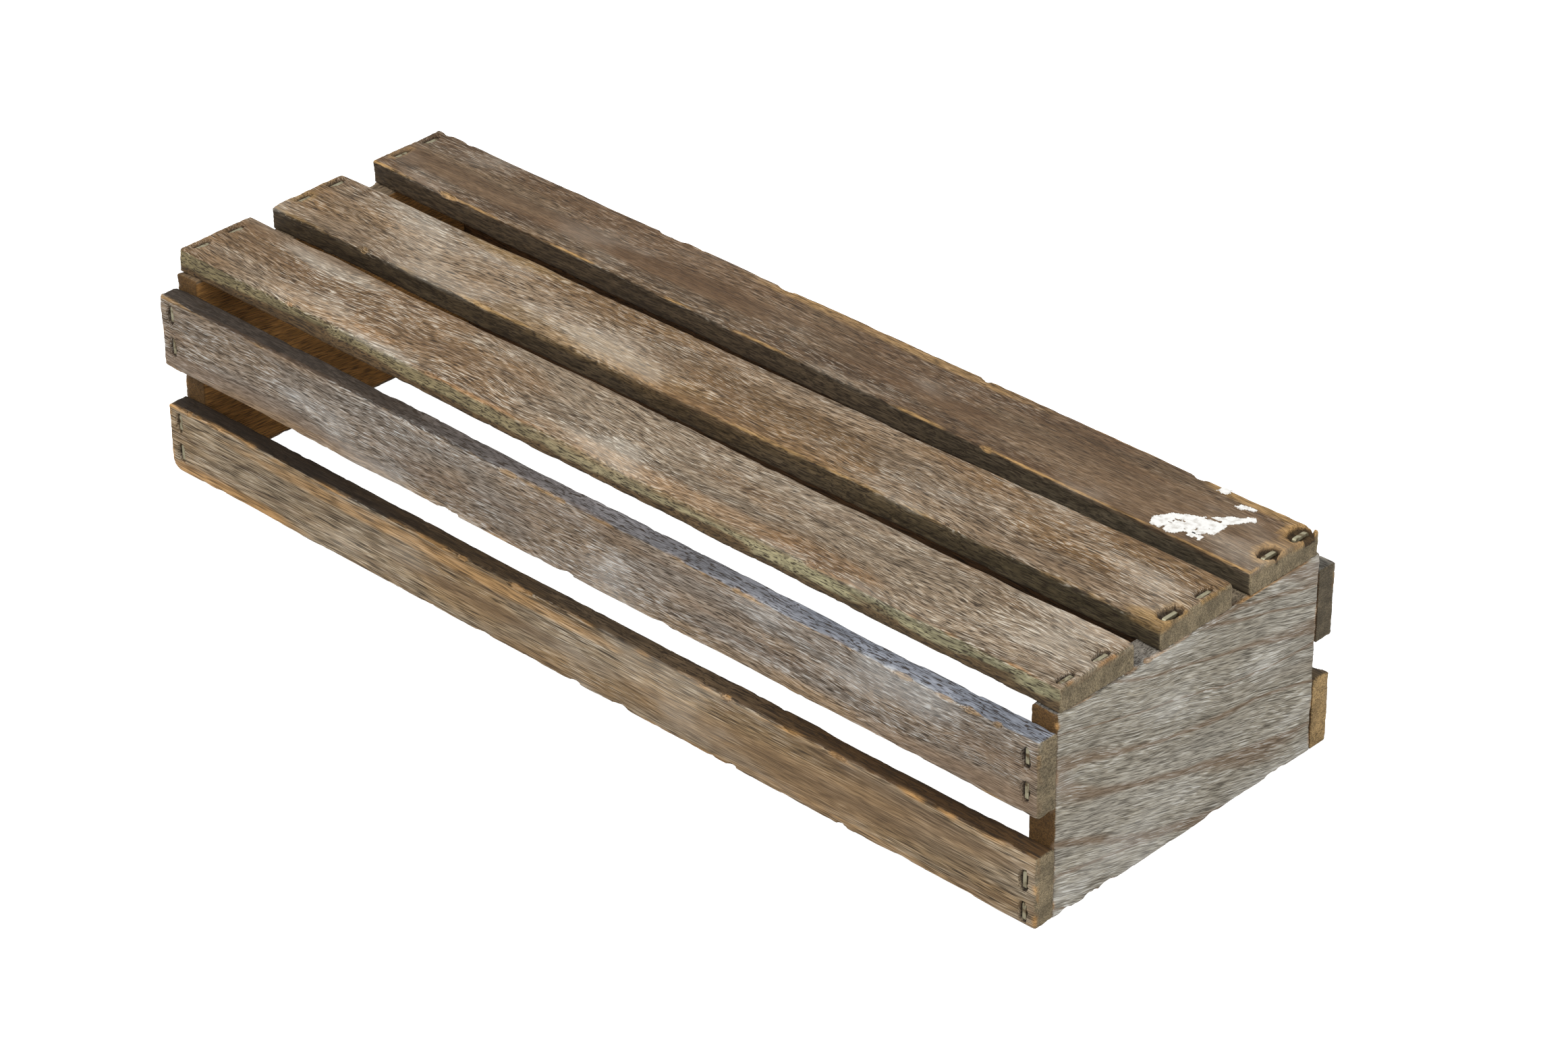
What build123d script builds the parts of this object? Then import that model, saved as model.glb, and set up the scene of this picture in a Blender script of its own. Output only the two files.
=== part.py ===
"""A small slatted wooden crate, standing upside down on its open rim.

Two solid end panels carry seven slats: three across the crate's bottom, which is on top as it
stands, two along the front and two along the back. Each slat end is held by two staples.
The origin is at the middle of the footprint, X runs along the crate, Y from front to back.
"""
import os

from build123d import *

# Overall sizes, mm
crate_length = 340.0
crate_depth = 120.0
crate_height = 71.0

# Board thicknesses
end_thickness = 8.6
top_slat_thickness = 7.5
side_slat_thickness = 7.0

# Across the boards, each pair of numbers is for the right end (+X) and the left end (-X):
# the boards were fastened by eye, so none of them is quite square to the crate.
top_setback_front = (0.4, 1.0)  # from the front edge of the end panels to the front slat
top_setback_rear = (0.8, 0.4)  # from the rear edge of the end panels to the rear slat
top_gap_front = (8.1, 6.5)  # between the front and the middle slat
top_gap_rear = (5.0, 10.4)  # between the middle and the rear slat
top_front_trim = 0.4  # of the front slat, over an even share of the width
top_rear_trim = -0.8
front_drop = (5.0, 4.0)  # from the end panels' top edge down to the upper slat
front_gap = (11.5, 11.7)  # between the lower and the upper slat
front_trim = 0.7  # of the upper slat, over an even share of the height
back_drop = (5.5, 5.1)
back_gap = (11.0, 11.4)
back_trim = 0.2

# Worn edges: radius along the lower and the higher long edge of each outer face
top_front_wear = (1.7, 2.8)
top_middle_wear = (1.2, 2.3)
top_rear_wear = (0.9, 0.9)
side_wear = (0.8, 0.8)
end_wear = 0.5  # across the slat ends and around the end panels

# Staples: flat wire, driven a little below the surface
crown_width = 5.6
wire_width = 1.2  # along the crate
wire_thickness = 0.9
leg_length = 12.0
leg_point = 0.4
crown_bend = 0.8  # outer radius where a leg turns into the crown
crown_depth = 0.9  # of the crown below the surface of the wood
pocket_margin = 0.4  # of torn wood around a crown
staple_spread = 0.44  # spacing of a joint's two staples, as a share of the slat's width
top_staple_lane = -1.4  # inward from the middle of the end panel's thickness
side_staple_lane = 0.1

# How far a joint's two staples sit off the middle of their slat, at the right and left end
staple_shift = {
    "top_slat_front": (-2.9, -1.0),
    "top_slat_middle": (-1.1, 2.5),
    "top_slat_rear": (3.4, 1.8),
    "front_slat_upper": (0.4, 1.0),
    "front_slat_lower": (-2.5, 0.3),
    "back_slat_upper": (-0.6, 0.8),
    "back_slat_lower": (0.9, -0.5),
}

panel_depth = crate_depth - 2 * side_slat_thickness
panel_height = crate_height - top_slat_thickness
half_panel = panel_depth / 2
end_names = ("right", "left")
end_sides = (1, -1)

# A wall's plane lies on the end panels, with X along the crate, Y across the slats, Z outward
top_wall = Plane((0, 0, panel_height), x_dir=(1, 0, 0), z_dir=(0, 0, 1))
front_wall = Plane((0, -half_panel, 0), x_dir=(1, 0, 0), z_dir=(0, -1, 0))
back_wall = Plane((0, half_panel, 0), x_dir=(-1, 0, 0), z_dir=(0, 1, 0))


def top_slat_edges():
    """Low and high edge of the front, middle and rear top slat, at the right and left end."""
    ends = []
    for end in (0, 1):
        front = -half_panel + top_setback_front[end]
        rear = half_panel - top_setback_rear[end]
        share = (rear - front - top_gap_front[end] - top_gap_rear[end]) / 3
        front_end = front + share + top_front_trim
        rear_start = rear - share - top_rear_trim
        middle = (front_end + top_gap_front[end], rear_start - top_gap_rear[end])
        ends.append(((front, front_end), middle, (rear_start, rear)))
    return zip(*ends)


def side_slat_edges(drop, gap, trim):
    """Low and high edge of a side wall's lower and upper slat, at the right and left end."""
    ends = []
    for end in (0, 1):
        top = panel_height - drop[end]
        share = (top - gap[end]) / 2
        ends.append(((0, share - trim), (share - trim + gap[end], top)))
    return zip(*ends)


def staple_seats(name, wall, thickness, lane, edges):
    """Planes on a slat's outer face where its staples go in, X along the crown, Z outward."""
    seats = []
    for end, (low, high) in enumerate(edges):
        across = (low + high) / 2 + staple_shift[name][end]
        spread = staple_spread * (high - low)
        along = end_sides[end] * (crate_length / 2 - end_thickness / 2 - lane) * wall.x_dir.X
        for step in (-0.5, 0.5):
            spot = wall.from_local_coords(Vector(along, across + step * spread, thickness))
            seats.append(Plane(spot, x_dir=wall.y_dir, z_dir=wall.z_dir))
    return seats


def make_staple(seat, name):
    """A staple driven in at a seat, with its crown under the surface and two pointed legs."""
    side_on = Plane(seat.origin, x_dir=seat.x_dir, z_dir=-seat.y_dir)
    with BuildPart() as staple:
        with BuildSketch(side_on) as outline:
            with Locations((0, -crown_depth)):
                Rectangle(crown_width, leg_length, align=(Align.CENTER, Align.MAX))
            fillet(outline.vertices().group_by(Axis.Y)[-1], radius=crown_bend)
            between_legs = crown_width - 2 * wire_thickness
            with Locations((0, -crown_depth - wire_thickness)):
                Rectangle(
                    between_legs, leg_length, align=(Align.CENTER, Align.MAX), mode=Mode.SUBTRACT
                )
            tips = outline.vertices().group_by(Axis.Y)[0].sort_by(Axis.X)
            chamfer([tips[0], tips[-1]], length=leg_point)
        extrude(amount=wire_width / 2, both=True)
    staple.part.label = name
    return staple.part


def make_slat(name, wall, thickness, edges, wear, staples):
    """A slat on a wall, worn along its outer edges and pierced by its staples."""
    (right_low, right_high), (left_low, left_high) = edges
    right = crate_length / 2 * wall.x_dir.X
    outward = Axis(wall.origin, wall.z_dir)
    across = Axis(wall.origin, wall.y_dir)
    with BuildPart() as slat:
        with BuildSketch(wall):
            with BuildLine():
                Polyline(
                    (right, right_low),
                    (right, right_high),
                    (-right, left_high),
                    (-right, left_low),
                    close=True,
                )
            make_face()
        extrude(amount=thickness)
        for edge in (0, 1):
            outer_face = slat.faces().sort_by(outward)[-1]
            long_edges = outer_face.edges().sort_by(SortBy.LENGTH)[-2:].sort_by(across)
            fillet(long_edges[edge], radius=wear[edge])
        end_edges = slat.faces().filter_by(Axis.X).edges()
        fillet([edge for group in end_edges.group_by(outward)[1:] for edge in group], radius=end_wear)
        for staple, seat in staples:
            add(staple, mode=Mode.SUBTRACT)
            with BuildSketch(seat.offset(-crown_depth)):
                Rectangle(crown_width + 2 * pocket_margin, wire_width + 2 * pocket_margin)
            extrude(amount=crown_depth, mode=Mode.SUBTRACT)
    slat.part.label = name
    return slat.part


def make_end_panel(name, side, staples):
    """An end panel, worn around its outer face, with the holes that the staple legs made."""
    inner_face = Plane.YZ.offset(side * (crate_length / 2 - end_thickness))
    with BuildPart() as panel:
        with BuildSketch(inner_face):
            Rectangle(panel_depth, panel_height, align=(Align.CENTER, Align.MIN))
        extrude(amount=side * end_thickness)
        outer_face = panel.faces().sort_by(Axis.X)[-1 if side > 0 else 0]
        fillet(outer_face.edges(), radius=end_wear)
        for staple, _ in staples:
            add(staple, mode=Mode.SUBTRACT)
    panel.part.label = name
    return panel.part


top_front, top_middle, top_rear = top_slat_edges()
front_lower, front_upper = side_slat_edges(front_drop, front_gap, front_trim)
back_lower, back_upper = side_slat_edges(back_drop, back_gap, back_trim)
top_board = (top_wall, top_slat_thickness, top_staple_lane)
front_board = (front_wall, side_slat_thickness, side_staple_lane)
back_board = (back_wall, side_slat_thickness, side_staple_lane)
slats = {
    "top_slat_front": (top_board, top_front, top_front_wear),
    "top_slat_middle": (top_board, top_middle, top_middle_wear),
    "top_slat_rear": (top_board, top_rear, top_rear_wear),
    "front_slat_upper": (front_board, front_upper, side_wear),
    "front_slat_lower": (front_board, front_lower, side_wear),
    "back_slat_upper": (back_board, back_upper, side_wear),
    "back_slat_lower": (back_board, back_lower, side_wear),
}

pieces = []
end_staples = {"right": [], "left": []}
for slat_name, ((wall, thickness, lane), edges, wear) in slats.items():
    seats = staple_seats(slat_name, wall, thickness, lane, edges)
    places = [f"{end}_{number}" for end in end_names for number in (1, 2)]
    short_name = slat_name.replace("_slat", "")
    staples = []
    for place, seat in zip(places, seats):
        staples.append((make_staple(seat, f"staple_{short_name}_{place}"), seat))
    end_staples["right"] += staples[:2]
    end_staples["left"] += staples[2:]
    pieces.append(make_slat(slat_name, wall, thickness, edges, wear, staples))
    pieces += [staple for staple, _ in staples]

for end_name, side in zip(end_names, end_sides):
    pieces.append(make_end_panel(f"end_panel_{end_name}", side, end_staples[end_name]))

os.makedirs("parts", exist_ok=True)
for piece in pieces:
    export_step(piece, f"parts/{piece.label}.step")
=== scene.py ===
"""Weathered slatted crate, upside down on its rim.

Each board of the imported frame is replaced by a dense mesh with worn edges, chips, open grain and
torn pits round its staples. The staples are the frame's own nodes with a better material.
The board code works in millimetres, and MM turns them into the frame's metres.
"""
import math

import bpy
import numpy as np
from mathutils import Matrix, Vector


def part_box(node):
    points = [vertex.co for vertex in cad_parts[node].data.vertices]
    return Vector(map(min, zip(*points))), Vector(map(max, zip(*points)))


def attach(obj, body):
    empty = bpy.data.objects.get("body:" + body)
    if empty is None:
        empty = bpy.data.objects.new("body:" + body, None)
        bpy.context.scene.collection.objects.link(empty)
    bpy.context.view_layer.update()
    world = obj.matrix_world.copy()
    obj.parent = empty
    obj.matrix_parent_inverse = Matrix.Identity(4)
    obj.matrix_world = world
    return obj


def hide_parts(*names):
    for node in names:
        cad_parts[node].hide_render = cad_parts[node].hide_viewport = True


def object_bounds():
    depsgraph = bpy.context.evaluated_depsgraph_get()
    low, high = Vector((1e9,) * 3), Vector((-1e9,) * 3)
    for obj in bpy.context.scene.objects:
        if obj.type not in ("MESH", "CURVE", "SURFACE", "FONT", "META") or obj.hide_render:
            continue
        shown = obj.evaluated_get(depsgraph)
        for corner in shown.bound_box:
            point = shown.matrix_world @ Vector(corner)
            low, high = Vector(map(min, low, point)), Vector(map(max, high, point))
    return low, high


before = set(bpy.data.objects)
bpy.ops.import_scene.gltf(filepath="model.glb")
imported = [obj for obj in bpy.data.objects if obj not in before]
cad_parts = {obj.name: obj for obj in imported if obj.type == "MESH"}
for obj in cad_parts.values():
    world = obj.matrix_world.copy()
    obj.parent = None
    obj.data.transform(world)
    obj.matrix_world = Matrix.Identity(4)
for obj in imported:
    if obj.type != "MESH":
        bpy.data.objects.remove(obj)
cad_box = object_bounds()
MM = 0.001

# Mesh spacing, mm: the fine step within the rim of both ends, the coarse step between, the rim
SLAT_ALONG = (0.42, 1.0, 9.0)
PANEL_ALONG = (0.42, 0.62, 5.0)
ACROSS = (0.33, 0.55, 3.2)
THROUGH = (0.33, 0.5, 1.6)


# ---------------------------------------------------------------- noise
# Each use of noise adds its own number to the board's seed, so that no two patterns agree.

def lattice(cell, seed):
    """A repeatable random number from 0 to 1 for each integer cell."""
    x, y, z = (cell[..., i].astype(np.int64) for i in range(3))
    h = (x * 374761393 + y * 668265263 + z * 2147483647 + seed * 974634777) & 0xFFFFFFFF
    h = ((h ^ (h >> 13)) * 1274126177) & 0xFFFFFFFF
    h = ((h ^ (h >> 16)) * 2246822519) & 0xFFFFFFFF
    return ((h ^ (h >> 15)) & 0xFFFFFF) / float(0xFFFFFF)


def noise(points, size, seed):
    """Smooth noise from 0 to 1, with features of the given size along each axis."""
    p = np.stack([points[i] / size[i] for i in range(3)], axis=-1)
    base = np.floor(p)
    f = p - base
    f = f * f * (3 - 2 * f)
    total = 0.0
    for dx in (0, 1):
        for dy in (0, 1):
            for dz in (0, 1):
                corner = lattice(base + np.array([dx, dy, dz]), seed)
                weight = np.abs(1 - dx - f[..., 0])
                weight = weight * np.abs(1 - dy - f[..., 1]) * np.abs(1 - dz - f[..., 2])
                total = total + corner * weight
    return total


def rough(points, size, seed, octaves=3):
    """Noise with finer octaves added, from 0 to 1."""
    total, weight = 0.0, 0.0
    for i in range(octaves):
        total = total + noise(points, [s / 2 ** i for s in size], seed + 17 * i) / 2 ** i
        weight += 1 / 2 ** i
    return total / weight


def step(low, high, value):
    """0 below low, 1 above high, smooth between."""
    t = np.clip((value - low) / (high - low), 0, 1)
    return t * t * (3 - 2 * t)


# ---------------------------------------------------------------- colour

def rgb(code):
    """Linear colour of a hex code."""
    parts = [int(code[i:i + 2], 16) / 255 for i in (1, 3, 5)]
    return np.array([c / 12.92 if c <= 0.04045 else ((c + 0.055) / 1.055) ** 2.4 for c in parts])


def blend_colour(tint, colour, amount):
    return tint * (1 - amount[:, None]) + colour[None, :] * amount[:, None]


# ---------------------------------------------------------------- walls

# Board coordinates run along the grain, across it, and outward through the board.
def wall_axes(node):
    """(grain axis, across axis, outward axis, outward sign) of a board, as axis numbers."""
    if node.startswith("top"):
        return 0, 1, 2, 1
    if node.startswith("front"):
        return 0, 2, 1, -1
    if node.startswith("back"):
        return 0, 2, 1, 1
    return 1, 2, 0, 1 if node.endswith("right") else -1


def corners_of(node):
    """The board's edges in the frame, mm: low and high edge at its start and end, and its faces."""
    grain, across, outward, sign = wall_axes(node)
    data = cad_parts[node].data
    v = np.empty(len(data.vertices) * 3)
    data.vertices.foreach_get("co", v)
    v = v.reshape(-1, 3) / MM
    s, a, w = v[:, grain], v[:, across], v[:, outward] * sign
    inner = w < w.min() + 0.01
    ends = []
    for limit in (s.min(), s.max()):
        at_end = inner & (np.abs(s - limit) < 0.01)
        ends.append((a[at_end].min(), a[at_end].max()))
    return {"s": (s.min(), s.max()), "start": ends[0], "end": ends[1], "w": (w.min(), w.max())}


def staples_of(node):
    """Centres of the board's staple crowns, as (along, across), mm."""
    grain, across, _, _ = wall_axes(node)
    stem = "staple_" + node.replace("_slat", "")
    spots = []
    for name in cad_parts:
        if name.startswith(stem + "_"):
            low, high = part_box(name)
            centre = [(low[i] + high[i]) / 2 / MM for i in range(3)]
            spots.append((centre[grain], centre[across]))
    return sorted(spots)


# ---------------------------------------------------------------- board meshes

def graded(low, high, fine, coarse, rim):
    """Positions from low to high: fine spacing within rim of both ends, coarse between."""
    n_rim = max(1, round(rim / fine))
    n_mid = max(1, round((high - low - 2 * rim) / coarse))
    first = np.linspace(low, low + rim, n_rim + 1)
    middle = np.linspace(low + rim, high - rim, n_mid + 1)[1:-1]
    last = np.linspace(high - rim, high, n_rim + 1)
    return np.concatenate([first, middle, last])


def shell(us, vs, ws):
    """Vertices and quads of the surface of a grid of positions."""
    nu, nv, nw = len(us), len(vs), len(ws)
    ids, verts, quads = {}, [], []

    def vertex(i, j, k):
        key = (i, j, k)
        if key not in ids:
            ids[key] = len(verts)
            verts.append((us[i], vs[j], ws[k]))
        return ids[key]

    def quad(*corners):
        quads.append(tuple(vertex(*corner) for corner in corners))

    for i in range(nu - 1):
        for j in range(nv - 1):
            k = nw - 1
            quad((i, j, k), (i + 1, j, k), (i + 1, j + 1, k), (i, j + 1, k))
            quad((i, j, 0), (i, j + 1, 0), (i + 1, j + 1, 0), (i + 1, j, 0))
    for i in range(nu - 1):
        for k in range(nw - 1):
            j = nv - 1
            quad((i, 0, k), (i + 1, 0, k), (i + 1, 0, k + 1), (i, 0, k + 1))
            quad((i, j, k), (i, j, k + 1), (i + 1, j, k + 1), (i + 1, j, k))
    for j in range(nv - 1):
        for k in range(nw - 1):
            i = nu - 1
            quad((0, j, k), (0, j, k + 1), (0, j + 1, k + 1), (0, j + 1, k))
            quad((i, j, k), (i, j + 1, k), (i, j + 1, k + 1), (i, j, k + 1))
    return np.array(verts), quads


class Grid:
    """The surface points of one board, mm, with their distances from its six faces."""

    def __init__(self, node):
        shape = corners_of(node)
        self.s0, self.s1 = shape["s"]
        self.w0, w1 = shape["w"]
        self.thick = w1 - self.w0
        width = max(high - low for low, high in (shape["start"], shape["end"]))
        along = PANEL_ALONG if node.startswith("end") else SLAT_ALONG
        us = graded(self.s0, self.s1, *along)
        vs = graded(0, width, *ACROSS) / width
        ws = graded(0, self.thick, *THROUGH)
        verts, self.quads = shell(us, vs, ws)
        self.s, v, self.w = verts[:, 0], verts[:, 1], verts[:, 2]
        # 0 at the board's start and 1 at its end: a slat may be wider at one end
        self.t = (self.s - self.s0) / (self.s1 - self.s0)
        self.low = shape["start"][0] * (1 - self.t) + shape["end"][0] * self.t
        self.high = shape["start"][1] * (1 - self.t) + shape["end"][1] * self.t
        self.a = self.low + (self.high - self.low) * v
        self.none = np.zeros_like(self.s)
        self.here = np.stack([self.s, self.a, self.w])

        self.from_low, self.from_high = self.a - self.low, self.high - self.a
        self.from_inner, self.from_outer = self.w, self.thick - self.w
        self.from_start, self.from_end = self.s - self.s0, self.s1 - self.s
        self.from_ends = np.minimum(self.from_start, self.from_end)
        # The two ends and the two long edges, each with the sign that points out of the wood
        self.ends = ((self.from_start, -1), (self.from_end, 1))
        self.edges = ((self.from_low, -1), (self.from_high, 1))


def round_corner(a, b, da, db, radius):
    """Pulls points inside the corner square of two faces onto the corner's arc.

    a and b are distances from the two faces, da and db the signs that point outward."""
    inside = (a < radius) & (b < radius)
    ca, cb = radius - a, radius - b
    reach = np.sqrt(ca ** 2 + cb ** 2)
    longest = np.maximum(ca, cb)
    scale = np.where(inside & (reach > 1e-9), longest / np.maximum(reach, 1e-9), 1.0)
    return np.where(inside, da * (ca * scale - ca), 0.0), np.where(inside, db * (cb * scale - cb), 0.0)


def round_edges(grid, look):
    """Moves (along, across, outward) that round the plan corners, long edges and end edges."""
    seed = look["seed"]
    ds, da, dw = grid.none, grid.none, grid.none
    for end, (near_s, sign_s) in enumerate(grid.ends):
        for edge, (near_a, sign_a) in enumerate(grid.edges):
            radius = np.full_like(grid.s, look["plan"][2 * end + edge])
            move_s, move_a = round_corner(near_s, near_a, sign_s, sign_a, radius)
            ds, da = ds + move_s, da + move_a
    along_edge = np.stack([grid.s, grid.none, grid.none])
    for edge, (near, sign) in enumerate(grid.edges):
        worn = look["wear"][edge] * (0.55 + 0.9 * rough(along_edge, (22, 1, 1), seed + 3 + 2 * edge))
        move_a, move_w = round_corner(near, grid.from_outer, sign, 1, worn)
        da, dw = da + move_a, dw + move_w
        small = 0.25 + 0.5 * rough(along_edge, (9, 1, 1), seed + 7 + 2 * edge)
        move_a, move_w = round_corner(near, grid.from_inner, sign, -1, small)
        da, dw = da + move_a, dw + move_w
    across_edge = np.stack([grid.none, grid.a, grid.none])
    for end, (near, sign) in enumerate(grid.ends):
        radius = 0.4 + 0.9 * rough(across_edge, (1, 5, 1), seed + 11 + 2 * end)
        move_s, move_w = round_corner(near, grid.from_outer, sign, 1, radius)
        ds, dw = ds + move_s, dw + move_w
    return ds, da, dw


def weather(grid, look):
    """Moves into the wood: saw-rough wavy edges, furrows and hollows, frayed end grain."""
    seed = look["seed"]
    ds, da, dw = grid.none.copy(), grid.none.copy(), grid.none.copy()
    edge_place = np.stack([grid.s, grid.none, grid.w])
    for edge, (near, sign) in enumerate(grid.edges):
        slow = np.maximum(0, rough(edge_place, (34, 1, 6), seed + 21 + 2 * edge) - 0.45)
        quick = np.maximum(0, rough(edge_place, (3.0, 1, 1.6), seed + 22 + 2 * edge) - 0.5)
        da -= step(1.0, 0.0, near) * sign * (1.5 * slow + 1.1 * quick)
    drift = 1.5 * rough(grid.here, (40, 9, 9), seed + 25)
    furrows = rough(np.stack([grid.s, grid.a + drift, grid.w]), (30, 0.9, 3), seed + 26, 2)
    hollows = rough(grid.here, (60, 9, 9), seed + 27)
    sunk = 0.5 * np.maximum(0, furrows - 0.4) + 0.5 * np.maximum(0, hollows - 0.4)
    dw -= step(1.2, 0.0, grid.from_outer) * sunk
    fray = 0.5 * np.maximum(0, rough(np.stack([grid.none, grid.a, grid.w]), (1, 0.8, 0.8), seed + 28) - 0.45)
    inward = np.where(grid.from_start < grid.from_end, 1, -1)
    ds += step(0.8, 0.0, grid.from_ends) * inward * fray
    return ds, da, dw


def chip_edges(grid, look):
    """Chips out of the outer long edges: moves across and outward, and the chipped area."""
    chipped, da, dw = grid.none, grid.none.copy(), grid.none.copy()
    rng = np.random.default_rng(look["seed"])
    for _ in range(look["chips"]):
        spot = rng.uniform(grid.s0 + 4, grid.s1 - 4)
        low_edge = rng.random() < 0.5
        length, depth = rng.uniform(1.2, 4.5), rng.uniform(0.3, 0.9)
        near, sign = grid.edges[0 if low_edge else 1]
        reach = ((grid.s - spot) / length) ** 2
        reach = reach + (near / (0.8 + depth)) ** 2 + (grid.from_outer / (0.8 + depth)) ** 2
        mask = step(1.0, 0.35, reach)
        chipped = np.maximum(chipped, mask)
        dw -= mask * depth * step(2.0, 0.0, near)
        da -= mask * depth * 0.7 * step(2.0, 0.0, grid.from_outer) * sign
    return da, dw, chipped


def tear_staple_pits(grid, node, look):
    """Torn pits round the staple crowns: the outward move, the pits, and fresh wood round them."""
    dw, pit, fresh = grid.none.copy(), grid.none, grid.none
    plain_pit = (1.5, 3.5, 1.75)
    for index, (spot_s, spot_a) in enumerate(staples_of(node)):
        half_length, half_width, depth = look["tears"].get(index, plain_pit)
        ragged = 0.6 + 0.9 * rough(grid.here, (1.4, 1.1, 50), look["seed"] + 40 + index, 2)
        reach = (((grid.s - spot_s) / half_length) ** 2 + ((grid.a - spot_a) / half_width) ** 2) * ragged
        mask = step(1.15, 0.72, reach) * step(3.4, 2.4, grid.from_outer)
        dw -= mask * depth * step(3.0, 0.5, grid.from_outer)
        pit = np.maximum(pit, mask)
        bare = step(3.5, 1.0, reach) * step(2.2, 0.4, grid.from_outer)
        fresh = np.maximum(fresh, bare * look["fresh"].get(index, 0.0))
    return dw, pit, fresh


def paint(grid, look, chipped, fresh):
    """The board's tone, with its masks of bare wood, pale wash and end faces."""
    seed = look["seed"]
    broad = rough(grid.here, (45, 12, 12), seed + 50)
    tint = np.tile(look["face"], (len(grid.s), 1))
    tint = blend_colour(tint, look["second"], step(0.42, 0.62, broad))
    # Each long side has one tone at the start and another at the end, and may be dark below; sides that face
    # a gap between boards are given dark tones as painted shade
    toward_end = step(0.2, 0.9, grid.t + 0.25 * (broad - 0.5))
    # A darker band towards the inner face, patchy along the board
    darkening = rough(np.stack([grid.s, grid.none, grid.w]), (18, 1, 3), seed + 53)
    darkening = step(0.35, 0.6, darkening + 0.16 * (3.0 - grid.from_inner))
    for near, side in ((grid.from_low, "low_side"), (grid.from_high, "high_side")):
        on_side = step(0.9, 0.3, near) * step(0.15, 0.7, grid.from_outer)
        tint = blend_colour(tint, look[side][0], on_side * (1 - toward_end))
        tint = blend_colour(tint, look[side][1], on_side * toward_end)
        tint = blend_colour(tint, look["under_strip"], on_side * darkening * look["strip"])
    off_sides = step(0.4, 1.2, np.minimum(grid.from_low, grid.from_high))
    # The inner face's own browner tone. The left end panel's is set much lighter, as painted light that
    # makes up for the shade inside the crate
    tint = blend_colour(tint, look["inner"], step(0.5, 0.1, grid.from_inner) * off_sides)
    at_end = step(0.6, 0.15, grid.from_ends)
    tint = blend_colour(tint, look["end_tone"], at_end)

    # Bare tan wood along worn edges, in named patches, in chips and round torn staples
    patches = rough(grid.here, (14, 4, 4), seed + 51)
    from_edge = np.hypot(grid.from_ends, grid.from_outer)
    for near, _ in grid.edges:
        from_edge = np.minimum(from_edge, np.hypot(near, grid.from_outer))
    threshold = 0.55 - 0.2 * look["tan"]
    tan = step(look["tan_reach"], 0.2, from_edge) * step(threshold, threshold + 0.2, patches)
    for patch_s, patch_a, size_s, size_a, amount in look["patches"]:
        reach = ((grid.s - patch_s) / size_s) ** 2 + ((grid.a - patch_a) / size_a) ** 2
        patch = step(1.3, 0.3, reach + 0.9 * (patches - 0.5)) * amount * step(3, 1, grid.from_outer)
        tan = np.maximum(tan, patch)
    tan = np.clip(np.maximum(tan, np.maximum(chipped * 0.7, fresh)), 0, 1)
    tint = blend_colour(tint, look["bare"], tan)
    wash = look["wash"] * (0.45 + 0.9 * rough(grid.here, (50, 8, 8), seed + 52))
    wash = np.clip(wash * step(2.5, 0.2, grid.from_outer), 0, 1.5)
    return tint, {"tan": tan, "wash": wash, "at_end": at_end}


def board(node, look):
    """Builds the dense, worn mesh of one board and puts it in place of its CAD node."""
    grain, across, outward, sign = wall_axes(node)
    grid = Grid(node)
    ds, da, dw = round_edges(grid, look)
    weather_s, weather_a, weather_w = weather(grid, look)
    chip_a, chip_w, chipped = chip_edges(grid, look)
    pit_w, pit, fresh = tear_staple_pits(grid, node, look)
    tint, masks = paint(grid, look, chipped, fresh)
    masks["pit"] = pit

    # Never outside the CAD board
    points = np.empty((len(grid.s), 3))
    points[:, grain] = np.clip(grid.s + ds + weather_s, grid.s0, grid.s1) * MM
    points[:, across] = np.clip(grid.a + da + weather_a + chip_a, grid.low, grid.high) * MM
    depth = np.clip(grid.w + dw + weather_w + chip_w + pit_w, 0, grid.thick)
    points[:, outward] = (grid.w0 + depth) * MM * sign
    # A board whose axes make a left-handed set needs its quads turned over
    quads = grid.quads
    axes = np.eye(3)
    if np.linalg.det(np.array([axes[grain], axes[across], axes[outward] * sign])) < 0:
        quads = [quad[::-1] for quad in quads]

    mesh = bpy.data.meshes.new(node + "_worn")
    mesh.from_pydata(points.tolist(), [], quads)
    mesh.polygons.foreach_set("use_smooth", np.ones(len(quads), dtype=bool))
    for name, values in masks.items():
        data = mesh.attributes.new(name, "FLOAT", "POINT").data
        data.foreach_set("value", values.astype(np.float32))
    colours = np.concatenate([np.clip(tint, 0, 1), np.ones((len(tint), 1))], axis=1)
    data = mesh.attributes.new("tint", "FLOAT_COLOR", "POINT").data
    data.foreach_set("color", colours.astype(np.float32).ravel())
    piece = bpy.data.objects.new(node + "_worn", mesh)
    bpy.context.scene.collection.objects.link(piece)
    piece.data.materials.append(wood_material(node, look))
    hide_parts(node)
    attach(piece, "root")


# ---------------------------------------------------------------- materials

def plug(tree, socket, value):
    """Links a socket, or sets a number or colour on it."""
    if isinstance(value, bpy.types.NodeSocket):
        tree.links.new(value, socket)
    else:
        socket.default_value = value


def calculate(tree, operation, a, b=0.0, c=0.0):
    """One step of arithmetic on sockets or numbers."""
    node = tree.nodes.new("ShaderNodeMath")
    node.operation = operation
    for socket, value in zip(node.inputs, (a, b, c)):
        plug(tree, socket, value)
    return node.outputs[0]


def ramp(tree, value, low, high, start=0.0, end=1.0):
    """Maps value from low..high to start..end, smoothly and clamped."""
    node = tree.nodes.new("ShaderNodeMapRange")
    node.interpolation_type = "SMOOTHSTEP"
    plug(tree, node.inputs["Value"], value)
    for name, number in (("From Min", low), ("From Max", high), ("To Min", start), ("To Max", end)):
        plug(tree, node.inputs[name], number)
    return node.outputs["Result"]


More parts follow.
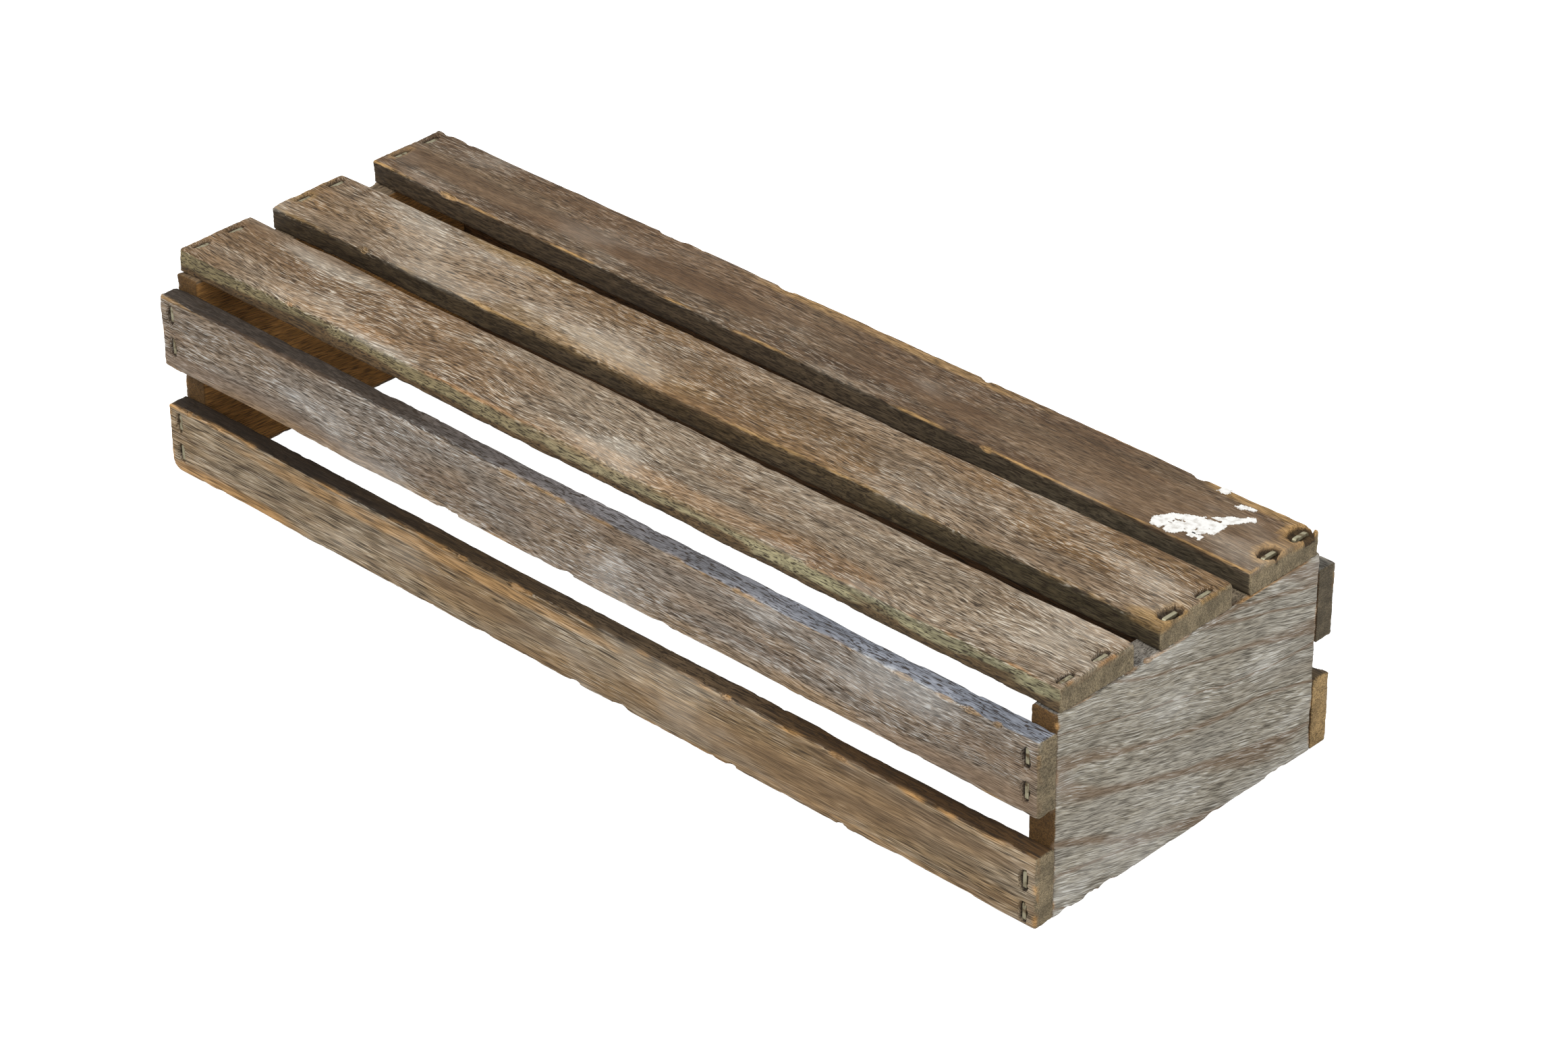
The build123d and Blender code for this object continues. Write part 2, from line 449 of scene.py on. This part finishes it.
def mixed(tree, amount, first, second):
    node = tree.nodes.new("ShaderNodeMix")
    node.data_type = "RGBA"
    plug(tree, node.inputs["Factor"], amount)
    plug(tree, node.inputs[6], first)
    plug(tree, node.inputs[7], second)
    return node.outputs[2]


def colour4(values):
    return (*[float(v) for v in values], 1.0)


def product(tree, first, *others):
    """All the values multiplied together."""
    for other in others:
        first = calculate(tree, "MULTIPLY", first, other)
    return first


def read(tree, name, output="Fac"):
    """A value or colour that the board's mesh carries at each point."""
    reader = tree.nodes.new("ShaderNodeAttribute")
    reader.attribute_name = name
    return reader.outputs[output]


def texture(tree, place, scale, detail=2.0):
    """Noise over board coordinates, in cells per metre along, across and through the board."""
    mapping = tree.nodes.new("ShaderNodeVectorMath")
    mapping.operation = "MULTIPLY"
    plug(tree, mapping.inputs[0], place)
    mapping.inputs[1].default_value = scale
    node = tree.nodes.new("ShaderNodeTexNoise")
    node.inputs["Scale"].default_value = 1.0
    node.inputs["Detail"].default_value = detail
    tree.links.new(mapping.outputs[0], node.inputs["Vector"])
    return node.outputs["Fac"]


def grain_coordinates(tree, node, look):
    """The board's own coordinates, metres: straight ones, and ones that swirl and slope with the grain."""
    grain_axis, across_axis, outward_axis, _ = wall_axes(node)
    place = tree.nodes.new("ShaderNodeTexCoord").outputs["Object"]
    split = tree.nodes.new("ShaderNodeSeparateXYZ")
    tree.links.new(place, split.inputs[0])
    join = tree.nodes.new("ShaderNodeCombineXYZ")
    for index, axis in enumerate((grain_axis, across_axis, outward_axis)):
        tree.links.new(split.outputs[axis], join.inputs[index])
    # Each board is cut from another place in the noise
    shift = tree.nodes.new("ShaderNodeVectorMath")
    shift.operation = "ADD"
    shift.inputs[1].default_value = (0.37 * look["seed"], 0.11 * look["seed"], 0.05 * look["seed"])
    tree.links.new(join.outputs[0], shift.inputs[0])
    straight = shift.outputs[0]
    # The across coordinate wanders slowly along the board, and may slope
    swirl = calculate(tree, "SUBTRACT", texture(tree, straight, (14, 30, 30), 2.0), 0.5)
    wander = product(tree, swirl, look["swirl"] * MM)
    wander = calculate(tree, "MULTIPLY_ADD", split.outputs[grain_axis], look["slope"], wander)
    bend = tree.nodes.new("ShaderNodeCombineXYZ")
    tree.links.new(wander, bend.inputs[1])
    bent = tree.nodes.new("ShaderNodeVectorMath")
    bent.operation = "ADD"
    tree.links.new(straight, bent.inputs[0])
    tree.links.new(bend.outputs[0], bent.inputs[1])
    return straight, bent.outputs[0]


def wood_material(node, look):
    """Open-grained weathered wood that reads the board's painted tone."""
    material = bpy.data.materials.new("wood_" + node)
    material.use_nodes = True
    tree = material.node_tree
    shader = tree.nodes["Principled BSDF"]
    straight, grain = grain_coordinates(tree, node, look)
    rings = texture(tree, grain, (7, 260, 200), 2.0)
    bands = texture(tree, grain, (6, 70, 60), 1.0)
    fibre = texture(tree, grain, (110, 6500, 4500), 1.0)
    lines = texture(tree, grain, look["lines"], 1.2)
    dashes = texture(tree, grain, (130, 1700, 1100), 1.0)
    blotch = texture(tree, straight, (25, 60, 60), 3.0)
    tan, wash, at_end, pit = (read(tree, name) for name in ("tan", "wash", "at_end", "pit"))

    # Light and dark of the wood itself
    contrast = look["contrast"]
    shade = product(
        tree,
        ramp(tree, rings, 0.32, 0.68, 1 - 0.34 * contrast, 1 + 0.24 * contrast),
        ramp(tree, fibre, 0.3, 0.7, 0.86, 1.12),
        ramp(tree, blotch, 0.3, 0.7, 0.9, 1.1),
        ramp(tree, dashes, 0.34, 0.64, 0.84, 1.1),
        ramp(tree, lines, 0.38, 0.6, 0.68, 1.2),
    )
    tone = tree.nodes.new("ShaderNodeVectorMath")
    tone.operation = "SCALE"
    tree.links.new(read(tree, "tint", "Color"), tone.inputs[0])
    tree.links.new(shade, tone.inputs["Scale"])

    # Warm brown where the pores are closed, and in thin veins along the growth bands
    closed = ramp(tree, bands, 0.42, 0.3)
    from_vein = calculate(tree, "ABSOLUTE", calculate(tree, "SUBTRACT", bands, 0.52))
    vein = ramp(tree, from_vein, 0.03, 0.003)
    warmth = calculate(
        tree, "MAXIMUM", product(tree, closed, look["broad"]), product(tree, vein, look["veins"]))
    warmth = product(tree, warmth, ramp(tree, wash, 0.0, 0.3))
    colour = mixed(tree, warmth, tone.outputs[0], colour4(look["warm"]))

    # Dark open pores with painted shade in their grooves, fewer on end faces, in bare patches and where the
    # wood is closed
    openness = product(
        tree,
        calculate(tree, "MULTIPLY_ADD", at_end, -0.75, 1.0),
        calculate(tree, "MULTIPLY_ADD", tan, -0.6, 1.0),
        calculate(tree, "MULTIPLY_ADD", closed, -0.6, 1.0),
    )
    pores_and_groove_shade = product(tree, ramp(tree, lines, 0.45, 0.36, 0.0, look["pores"]), openness)
    colour = mixed(tree, pores_and_groove_shade, colour, colour4(rgb("#33281d")))

    # Pale wash beside the pores with a painted highlight on the raised grain, a thin film of wash between,
    # and painted shade in the staple pits
    wash_and_highlight = product(
        tree,
        ramp(tree, lines, 0.54, 0.61),
        wash,
        openness,
        ramp(tree, dashes, 0.4, 0.56, 0.4, 1.0),
        ramp(tree, blotch, 0.3, 0.6, 0.4, 1.0),
    )
    wash_colour = colour4(look["wash_colour"])
    colour = mixed(tree, ramp(tree, wash_and_highlight, 0.0, 1.1, 0.0, 0.8), colour, wash_colour)
    film = product(tree, ramp(tree, blotch, 0.48, 0.7), wash)
    colour = mixed(tree, ramp(tree, film, 0.0, 1.0, 0.0, 0.25), colour, wash_colour)
    # Painted shade: the staple pits are darkened to near black
    colour = mixed(tree, ramp(tree, pit, 0.15, 0.8, 0.0, 0.86), colour, colour4(rgb("#1d140d")))
    plug(tree, shader.inputs["Base Color"], colour)
    plug(tree, shader.inputs["Roughness"], ramp(tree, fibre, 0.3, 0.7, 0.9, 0.72))
    shader.inputs["Specular IOR Level"].default_value = 0.25

    height = product(tree, fibre, 0.2)
    for pattern, share in ((lines, 0.6), (dashes, 0.5), (rings, 0.3)):
        height = calculate(tree, "MULTIPLY_ADD", pattern, share, height)
    bump = tree.nodes.new("ShaderNodeBump")
    bump.inputs["Strength"].default_value = 0.75
    bump.inputs["Distance"].default_value = 0.45 * MM
    plug(tree, bump.inputs["Height"], height)
    tree.links.new(bump.outputs[0], shader.inputs["Normal"])
    return material


def wire_material():
    """Dull zinc-coated staple wire with brown stain left on it."""
    material = bpy.data.materials.new("staple_wire")
    material.use_nodes = True
    tree = material.node_tree
    shader = tree.nodes["Principled BSDF"]
    place = tree.nodes.new("ShaderNodeTexCoord").outputs["Object"]
    stain = texture(tree, place, (500, 500, 500), 3.0)
    colour = mixed(tree, ramp(tree, stain, 0.45, 0.7), colour4(rgb("#a09a80")), colour4(rgb("#5d4c33")))
    plug(tree, shader.inputs["Base Color"], colour)
    shader.inputs["Metallic"].default_value = 0.6
    plug(tree, shader.inputs["Roughness"], ramp(tree, stain, 0.3, 0.7, 0.38, 0.62))
    return material


# ---------------------------------------------------------------- the boards' looks

def look(seed, slot, face, second, **more):
    """A board's look: what it has of its own over a plain one."""
    plain = {
        "seed": seed, "slot": slot, "face": rgb(face), "second": rgb(second),
        "low_side": ("#5a4c38", "#5a4c38"), "high_side": ("#5a4c38", "#5a4c38"), "inner": rgb("#6b4f34"),
        "under_strip": rgb("#523e28"), "strip": 0.0, "lines": (290, 4000, 2600), "warm": rgb("#6f543c"),
        "end_tone": rgb("#7d7058"), "bare": rgb("#a8804f"), "wash_colour": rgb("#d6cebf"),
        "wear": (0.9, 0.9), "plan": (0.6, 0.6, 0.6, 0.6), "chips": 10,
        "tears": {}, "fresh": {}, "tan": 0.0, "tan_reach": 1.6, "patches": (),
        "wash": 0.6, "swirl": 5.0, "slope": 0.0, "contrast": 0.75, "pores": 0.85,
        "broad": 0.3, "veins": 0.25,
    }
    plain.update({key: rgb(value) if isinstance(value, str) else value for key, value in more.items()})
    for side in ("low_side", "high_side"):
        plain[side] = [rgb(code) for code in plain[side]]
    return plain


# Colours are hex codes. "low" and "high" are a board's two long edges, "start" and "end" its ends.
#   low_side, high_side   the tone of each long side at the start and at the end; dark on sides facing a gap, as painted shade
#   wear                  radius of the low and high outer edge, mm
#   plan                  corner radii, mm: low and high at the start, low and high at the end
#   patches               bare wood: place along and across, half length, half width, amount
#   tears, fresh          by staple: half length, half width and depth of its pit; bare wood round it
#   lines                 cells of fine grain per metre, along, across and through the board
#   swirl, slope          how far the grain wanders, mm, and how steeply it crosses the board
LOOKS = {
    "top_slat_front": look(
        1, "top_slat_wood", "#8a7862", "#826749",
        # Its high side faces the gap to the middle slat: the dark tone there is painted shade
        low_side=("#7a6e50", "#8d8769"), high_side=("#4a3f2e", "#4f4433"),
        wear=(1.4, 2.6), plan=(0.6, 1.0, 0.8, 2.4), wash=1.0, swirl=16.0, tan=0.25, strip=0.9,
        bare="#9f7a52", patches=((30, -49, 60, 4, 0.5), (-110, -47, 30, 4, 0.4)),
    ),
    "top_slat_middle": look(
        # Both its long sides face gaps between the slats: their dark tones are painted shade
        2, "top_slat_wood", "#846f57", "#7f6342",
        low_side=("#4a3d2b", "#4d4330"), high_side=("#4a3f2e", "#4c4130"),
        wear=(1.1, 2.1), plan=(0.6, 0.8, 0.8, 2.0), wash=0.85, swirl=12.0, tan=0.35, bare="#9a7c50",
        patches=(
            (-94, 12, 22, 4, 0.7), (-40, -10, 45, 6, 0.35), (166, -11, 10, 3, 0.9), (-168, -5, 4, 5, 0.7),
        ),
        tears={2: (2.6, 4.4, 1.9)}, fresh={2: 0.5},
    ),
    "top_slat_rear": look(
        3, "top_slat_wood", "#6e5a44", "#624c36",
        # Its low side faces the gap to the middle slat: the dark tone there is painted shade
        low_side=("#473a2a", "#4a4132"), high_side=("#7a6448", "#b8955f"),
        wear=(0.8, 0.8), plan=(0.6, 0.6, 0.6, 0.6), wash=0.55, swirl=4.0, tan=0.5, tan_reach=1.0,
        bare="#b08c5a", patches=((20, 50, 60, 2.5, 0.5), (150, 50.5, 20, 2.5, 0.8), (168, 46, 4, 6, 0.9)),
        tears={2: (3.0, 3.8, 1.9), 3: (3.4, 4.6, 1.9)}, fresh={2: 0.8, 3: 0.9, 0: 0.5},
    ),
    "front_slat_upper": look(
        4, "side_slat_wood", "#83776a", "#867460",
        low_side=("#6f5f49", "#6f5f49"), high_side=("#453c34", "#7b7f88"),
        wash=0.85, swirl=8.0, wash_colour="#c9cbc9", tan=0.1, chips=14, bare="#9f8058",
        patches=((-100, 36, 60, 3, 0.4), (60, 37, 60, 3, 0.4)),
    ),
    "front_slat_lower": look(
        5, "side_slat_wood", "#8b7a62", "#8a7252",
        # Its high side is the top edge in the gap between the front slats: the near-black tone there is
        # painted shade
        low_side=("#b08a58", "#8a6a3c"), high_side=("#2e241a", "#4a3620"),
        plan=(3.6, 0.6, 0.6, 0.6), wash=0.6, swirl=2.5, tan=0.3, tan_reach=2.0, chips=16, bare="#aa8250",
        lines=(140, 4000, 2600),
        patches=((-60, 19, 90, 2.5, 0.6), (-150, 2, 40, 3, 0.8), (100, 1.5, 60, 2, 0.4)),
    ),
    "back_slat_upper": look(
        6, "side_slat_wood", "#7d6f5e", "#84725c", high_side=("#6d6a62", "#6d6a62"),
        end_tone="#5f5544", wash=0.7, swirl=7.0, bare="#9f8058",
    ),
    "back_slat_lower": look(
        7, "side_slat_wood", "#86745c", "#8c7456", end_tone="#9a8058", wash=0.6, tan=0.3,
        bare="#9f8058", lines=(140, 4000, 2600),
    ),
    "end_panel_right": look(
        8, "end_panel_wood", "#979081", "#9c9689",
        low_side=("#946c3c", "#7f6a4c"), high_side=("#76726c", "#7a6a52"),
        inner="#96693c", wear=(0.5, 0.5), wash=0.8, swirl=9.0, slope=0.26, contrast=0.32,
        wash_colour="#d8d8d4", end_tone="#5f4525", pores=0.5, warm="#75604a", lines=(210, 4000, 2800),
        broad=0.2, veins=0.75,
    ),
    "end_panel_left": look(
        9, "end_panel_wood", "#8f8778", "#98907f",
        low_side=("#946c3c", "#7f6a4c"), high_side=("#76624a", "#76624a"),
        # Its inner tone is set lighter than the wood, as painted light inside the crate
        inner="#b08048", wear=(0.5, 0.5), wash=0.7, swirl=9.0, slope=0.1, contrast=0.32, end_tone="#5f4525",
        pores=0.5, warm="#75604a", lines=(210, 4000, 2800), broad=0.2, veins=0.6,
    ),
}

for board_name, board_look in LOOKS.items():
    board(board_name, board_look)

wire = wire_material()
for name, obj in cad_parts.items():
    if name.startswith("staple_"):
        for slot in obj.material_slots:
            slot.material = wire


# ---------------------------------------------------------------- torn paper

def paper_material():
    """Bare white paper, rubbed and a little dirty."""
    material = bpy.data.materials.new("bare_paper")
    material.use_nodes = True
    tree = material.node_tree
    shader = tree.nodes["Principled BSDF"]
    place = tree.nodes.new("ShaderNodeTexCoord").outputs["Object"]
    darkening = texture(tree, place, (700, 700, 700), 4.0)
    white, dirty = colour4(rgb("#eeede9")), colour4(rgb("#a89f92"))
    colour = mixed(tree, ramp(tree, darkening, 0.42, 0.72, 0.0, 0.55), white, dirty)
    plug(tree, shader.inputs["Base Color"], colour)
    shader.inputs["Roughness"].default_value = 0.85
    return material


PAPER_CELL = 0.3
PAPER_RAGGEDNESS = 0.9
PAPER_HOLES = 0.27
PAPER_MARGIN = 1.0
# The sheet lies in the worn face: its top just under the slat's highest face, its base deeper
PAPER_TOP, PAPER_BASE = 0.03, 0.3


def inside_outline(outline, x, y):
    """Whether a point lies inside a closed outline."""
    inside = False
    for (x0, y0), (x1, y1) in zip(outline, outline[1:] + outline[:1]):
        if (y0 > y) != (y1 > y) and x < x0 + (x1 - x0) * (y - y0) / (y1 - y0):
            inside = not inside
    return inside


def torn_paper(name, outline, material, seed):
    """A thin scrap left of a paper label, of small cells, with ragged edges and worn holes.

    The outline is in mm: in from the right end of the rear top slat, and across it from its middle."""
    low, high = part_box("top_slat_rear")
    end_x, middle_y, top_z = high[0] / MM, (low[1] + high[1]) / 2 / MM, high[2] / MM
    cell = PAPER_CELL
    left, near = min(x for x, _ in outline) - PAPER_MARGIN, min(y for _, y in outline) - PAPER_MARGIN
    right, far = max(x for x, _ in outline) + PAPER_MARGIN, max(y for _, y in outline) + PAPER_MARGIN
    columns, rows = int((right - left) / cell), int((far - near) / cell)
    i, j = np.meshgrid(np.arange(columns), np.arange(rows), indexing="ij")
    x, y = left + (i + 0.5) * cell, near + (j + 0.5) * cell
    place = np.stack([x, y, np.zeros_like(x)])
    x_torn = x + PAPER_RAGGEDNESS * 2 * (rough(place, (1.6, 1.6, 1), seed) - 0.5)
    y_torn = y + PAPER_RAGGEDNESS * 2 * (rough(place, (1.6, 1.6, 1), seed + 1) - 0.5)
    holes = rough(place, (2.4, 1.6, 1), seed + 2)
    kept = set()
    for a in range(columns):
        for b in range(rows):
            if inside_outline(outline, x_torn[a, b], y_torn[a, b]) and holes[a, b] > PAPER_HOLES:
                kept.add((a, b))
    top, base = top_z - PAPER_TOP, top_z - PAPER_BASE
    verts, ids, faces = [], {}, []

    def corner(a, b, z):
        key = (a, b, z)
        if key not in ids:
            ids[key] = len(verts)
            px, py = end_x - (left + a * cell), middle_y + near + b * cell
            verts.append((px * MM, py * MM, z * MM))
        return ids[key]

    for a, b in sorted(kept):
        ring = [(a, b), (a, b + 1), (a + 1, b + 1), (a + 1, b)]
        faces.append([corner(*p, top) for p in ring])
        faces.append([corner(*p, base) for p in reversed(ring)])
        beside = [(a - 1, b), (a, b + 1), (a + 1, b), (a, b - 1)]
        for k, other in enumerate(beside):
            if other not in kept:
                p, q = ring[k], ring[(k + 1) % 4]
                faces.append([corner(*q, top), corner(*p, top), corner(*p, base), corner(*q, base)])
    mesh = bpy.data.meshes.new(name)
    mesh.from_pydata(verts, [], faces)
    scrap = bpy.data.objects.new(name, mesh)
    bpy.context.scene.collection.objects.link(scrap)
    mesh.materials.append(material)
    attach(scrap, "root")


SCRAPS = {
    "paper_main": [
        (35.4, -13.8), (36.2, -9.6), (33.4, -5.4), (30.0, -3.6), (27.6, -2.2), (24.6, 0.4), (22.0, 2.6),
        (19.6, 4.6), (16.2, 7.4), (15.0, 6.0), (17.2, 3.4), (18.8, 0.2), (18.6, -3.0), (19.4, -6.6),
        (22.6, -9.4), (25.4, -10.6), (28.4, -13.4), (31.4, -13.0),
    ],
    "paper_far": [(32.6, 11.4), (28.6, 12.2), (28.0, 14.0), (32.2, 13.6)],
    "paper_end": [(24.0, 8.2), (18.6, 9.2), (18.2, 11.0), (23.4, 10.2)],
    "paper_near": [(24.4, -11.6), (20.4, -11.8), (19.8, -9.4), (23.6, -9.2)],
}
paper = paper_material()
for index, (scrap_name, scrap_outline) in enumerate(SCRAPS.items()):
    torn_paper(scrap_name, scrap_outline, paper, 70 + index)


# ---------------------------------------------------------------- floor, light and camera

def make_floor():
    """A wide floor that lights the crate from below and looks plain white to the camera."""
    mesh = bpy.data.meshes.new("floor")
    size = 6.0
    just_below = 0.1 * MM
    z = cad_box[0].z - just_below
    corners = [(-size, -size, z), (size, -size, z), (size, size, z), (-size, size, z)]
    mesh.from_pydata(corners, [], [(0, 1, 2, 3)])
    floor = bpy.data.objects.new("floor", mesh)
    bpy.context.scene.collection.objects.link(floor)
    material = bpy.data.materials.new("white_floor")
    material.use_nodes = True
    tree = material.node_tree
    shader = tree.nodes["Principled BSDF"]
    shader.inputs["Base Color"].default_value = (0.82, 0.82, 0.82, 1)
    shader.inputs["Roughness"].default_value = 0.9
    shader.inputs["Specular IOR Level"].default_value = 0.0
    rays = tree.nodes.new("ShaderNodeLightPath")
    tree.links.new(rays.outputs["Is Camera Ray"], shader.inputs["Emission Strength"])
    shader.inputs["Emission Color"].default_value = (1, 1, 1, 1)
    mesh.materials.append(material)


def make_light():
    """Even white surroundings, with a large key lamp in front and a smaller one at the right."""
    world = bpy.data.worlds.new("studio")
    bpy.context.scene.world = world
    world.use_nodes = True
    tree = world.node_tree
    background = tree.nodes["Background"]
    fill, seen_white = 0.62, 1.0
    rays = tree.nodes.new("ShaderNodeLightPath")
    seen = calculate(tree, "MAXIMUM", rays.outputs["Is Camera Ray"], rays.outputs["Is Glossy Ray"])
    plug(tree, background.inputs["Strength"], ramp(tree, seen, 0.0, 1.0, fill, seen_white))
    background.inputs["Color"].default_value = (1, 1, 1, 1)
    for name, spot, size, power in (
        ("key", (-0.5, -1.3, 1.9), 1.1, 30.0),
        ("side", (1.9, -0.2, 1.2), 1.0, 14.0),
    ):
        data = bpy.data.lights.new(name, "AREA")
        data.size = size
        data.energy = power
        lamp = bpy.data.objects.new(name, data)
        lamp.location = spot
        lamp.rotation_euler = (-Vector(spot)).to_track_quat("-Z", "Y").to_euler()
        bpy.context.scene.collection.objects.link(lamp)


def make_camera():
    """The viewing angle, roll, distance and lens that show the crate as the photograph does."""
    azimuth, elevation, roll = math.radians(43.93), math.radians(31.66), math.radians(-0.51)
    distance, shift_right, shift_up = 1.3973, 0.01727, 0.01903
    level = math.cos(elevation)
    back = Vector((math.sin(azimuth) * level, -math.cos(azimuth) * level, math.sin(elevation)))
    right = (-back).cross(Vector((0, 0, 1))).normalized()
    up = right.cross(-back)
    x_axis = right * math.cos(roll) + up * math.sin(roll)
    y_axis = up * math.cos(roll) - right * math.sin(roll)
    data = bpy.data.cameras.new("camera")
    data.sensor_width = 36.0
    data.lens = 112.73
    camera = bpy.data.objects.new("camera", data)
    place = Matrix((x_axis, y_axis, back)).transposed().to_4x4()
    place.translation = x_axis * shift_right + y_axis * shift_up + back * distance
    camera.matrix_world = place
    bpy.context.scene.collection.objects.link(camera)
    bpy.context.scene.camera = camera


make_floor()
make_light()
make_camera()
bpy.context.scene.view_settings.view_transform = "Standard"
